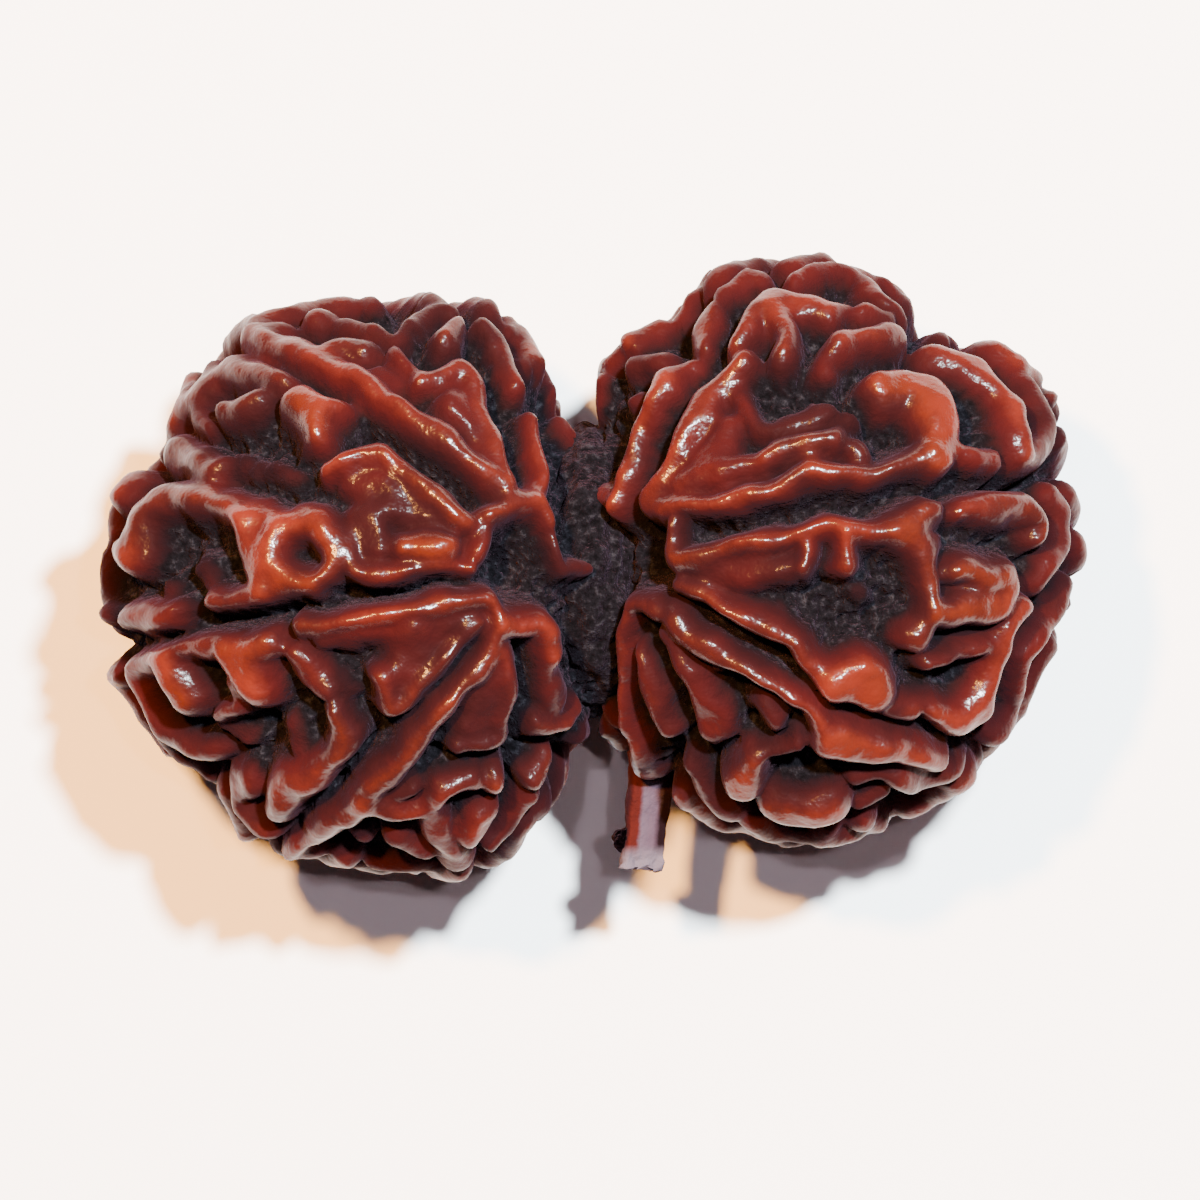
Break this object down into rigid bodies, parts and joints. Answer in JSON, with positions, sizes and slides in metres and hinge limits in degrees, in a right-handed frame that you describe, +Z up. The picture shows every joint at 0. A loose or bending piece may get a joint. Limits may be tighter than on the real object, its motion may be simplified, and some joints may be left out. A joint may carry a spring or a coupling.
{
  "type": "rudraksha seed, twin stone grown together",
  "caption": "Glossy netted twin rudraksha stone: two round grooved stones grown together, with a seam valley, pitted poles and a small peg; rests flat as a bead or specimen.",
  "frame": {"origin": "centre of the bounding box in plan, on the surface it rests on", "axes": "+X along the pair from the smaller-netted left stone to the right stone, +Z up from the rest, out of the side that shows both stem poles"},
  "size_m": [0.0394, 0.0252, 0.0221],
  "materials": {
    "oiled_stone": "oiled gloss on the ridges, rough near-black grooves"
  },
  "bodies": {
    "root": {"rudraksha_twin_stone": "oiled_stone"}
  },
  "joints": []
}
